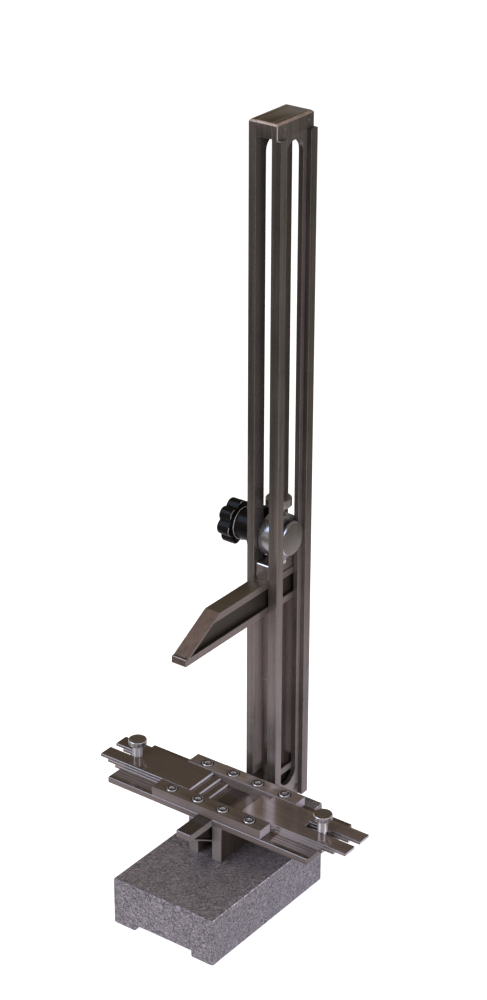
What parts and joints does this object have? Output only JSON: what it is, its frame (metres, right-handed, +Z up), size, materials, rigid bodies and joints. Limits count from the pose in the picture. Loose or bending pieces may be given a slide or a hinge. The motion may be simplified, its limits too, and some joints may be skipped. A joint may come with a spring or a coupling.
{
  "type": "bore gauge setting fixture",
  "caption": "Bore gauge setting fixture: a slotted steel column holds flat jaws apart on slip gauges above a cast base, and forked steady plates slide in a bed round the lower jaw.",
  "frame": {"origin": "middle of the bottom of the whole fixture's bounding box, on the table", "axes": "+Z up along the column; X along the bed, with +X on the side of the plain clamp disc; -Y towards the front of the casting, where the jaws point"},
  "size_m": [0.2776, 0.2144, 0.721],
  "materials": {
    "hammertone_paint": "grey hammertone paint on cast iron",
    "ground_steel": "ground, with fine parallel lines and bright broken edges",
    "column_steel": "ground lengthwise and lightly toned dark",
    "gauge_steel": "lapped",
    "turned_steel": "satin, turned and plated",
    "bright_steel": "bright",
    "screw_steel": "plain steel fastener",
    "black_steel": "black oxide",
    "black_plastic": "glossy black moulding"
  },
  "bodies": {
    "frame": {"base_casting": "hammertone_paint", "left_cheek": "ground_steel", "right_cheek": "ground_steel", "cheek_screws": "screw_steel", "lower_jaw": "ground_steel", "jaw_clamp_bolts": "screw_steel", "left_bed_plate": "ground_steel", "right_bed_plate": "ground_steel", "front_strip": "ground_steel", "rear_strip": "ground_steel", "strip_screws_long": "bright_steel", "strip_screws_short": "bright_steel", "left_column_side": "column_steel", "right_column_side": "column_steel", "column_cap": "column_steel", "cap_dowels": "screw_steel", "column_foot_bolts": "screw_steel", "slip_gauge_lower": "gauge_steel", "slip_gauge_upper": "gauge_steel"},
    "carriage": {"carriage_barrel": "turned_steel", "clamp_disc": "turned_steel", "clamp_stud": "screw_steel"},
    "washer": {"clamp_washer": "black_steel"},
    "knob": {"star_knob": "black_plastic"},
    "jaw": {"upper_jaw": "ground_steel", "saddle_block": "ground_steel", "saddle_dowels": "screw_steel", "saddle_grub_screw": "bright_steel"},
    "press": {"pressing_screw": "turned_steel"},
    "left_low_plate": {"left_slide_bottom": "ground_steel"},
    "left_mid_plate": {"left_slide_middle": "ground_steel"},
    "left_high_plate": {"left_slide_top": "ground_steel"},
    "right_low_plate": {"right_slide_bottom": "ground_steel"},
    "right_mid_plate": {"right_slide_middle": "ground_steel"},
    "right_high_plate": {"right_slide_top": "ground_steel"},
    "left_thumb": {"left_thumb_screw": "bright_steel"},
    "right_thumb": {"right_thumb_screw": "bright_steel"}
  },
  "joints": [
    {"name": "carriage_slide", "type": "slide", "parent": "frame", "child": "carriage", "axis": [0, 0, 1], "range_m": [0, 0.32]},
    {"name": "jaw_feed", "type": "slide", "parent": "carriage", "child": "jaw", "axis": [0, 0, 1], "range_m": [0, 0.001]},
    {"name": "pressing_turn", "type": "hinge", "parent": "jaw", "child": "press", "pos_m": [-0.00375, 0.081, 0.365], "axis": [0, 0, 1], "range_deg": [0, 360]},
    {"name": "washer_back", "type": "slide", "parent": "carriage", "child": "washer", "axis": [-1, 0, 0], "range_m": [0, 0.0015]},
    {"name": "knob_turn", "type": "hinge", "parent": "washer", "child": "knob", "pos_m": [-0.0444, 0.081, 0.332], "axis": [-1, 0, 0], "range_deg": [0, 360]},
    {"name": "left_low_slide", "type": "slide", "parent": "frame", "child": "left_low_plate", "axis": [-1, 0, 0], "range_m": [-0.01, 0.017]},
    {"name": "left_mid_slide", "type": "slide", "parent": "frame", "child": "left_mid_plate", "axis": [-1, 0, 0], "range_m": [-0.0185, 0.0085]},
    {"name": "left_high_slide", "type": "slide", "parent": "frame", "child": "left_high_plate", "axis": [-1, 0, 0], "range_m": [-0.027, 0.0005]},
    {"name": "right_low_slide", "type": "slide", "parent": "frame", "child": "right_low_plate", "axis": [1, 0, 0], "range_m": [-0.0095, 0.039]},
    {"name": "right_mid_slide", "type": "slide", "parent": "frame", "child": "right_mid_plate", "axis": [1, 0, 0], "range_m": [-0.022, 0.026]},
    {"name": "right_high_slide", "type": "slide", "parent": "frame", "child": "right_high_plate", "axis": [1, 0, 0], "range_m": [-0.0345, 0.014]},
    {"name": "left_thumb_turn", "type": "hinge", "parent": "frame", "child": "left_thumb", "pos_m": [-0.10905, 0.00575, 0.1], "axis": [0, 0, 1], "range_deg": [0, 360]},
    {"name": "right_thumb_turn", "type": "hinge", "parent": "frame", "child": "right_thumb", "pos_m": [0.10155, 0.00575, 0.1], "axis": [0, 0, 1], "range_deg": [0, 360]}
  ],
  "couplings": [
    {"joint": "pressing_turn", "follows": "jaw_feed", "rad_per_m": 6283},
    {"joint": "knob_turn", "follows": "washer_back", "rad_per_m": 4188}
  ]
}
